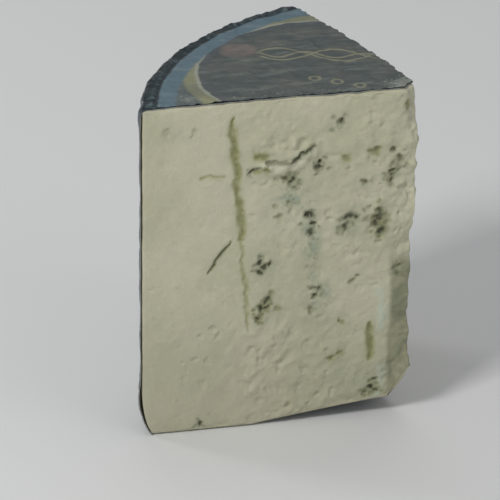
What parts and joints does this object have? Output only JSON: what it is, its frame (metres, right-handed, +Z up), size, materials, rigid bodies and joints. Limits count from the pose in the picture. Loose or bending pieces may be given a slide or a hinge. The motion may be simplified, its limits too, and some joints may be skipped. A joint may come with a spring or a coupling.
{
  "type": "cheese wedge",
  "caption": "Tall wedge of blue cheese cut from a foil-wrapped wheel, with a printed label on its top, standing on its base.",
  "frame": {"origin": "middle of the bounding box on the base, where the wedge stands", "axes": "+Z up along the wheel's axis; the front cut face lies along X and looks towards -Y; the tip points towards +X; the curved rim is towards -X and +Y"},
  "size_m": [0.0942, 0.0824, 0.1258],
  "materials": {
    "paste": "moist, crumbly cream paste with blue-green mould in its openings and olive needle tracks",
    "foil": "dark blue-grey wrapping foil, crinkled, satin",
    "label": "printed paper-backed label, blue ring band and grey-blue field, satin"
  },
  "bodies": {
    "root": {"cheese_paste": "paste", "foil_wrap": "foil", "top_label": "label"}
  },
  "joints": []
}
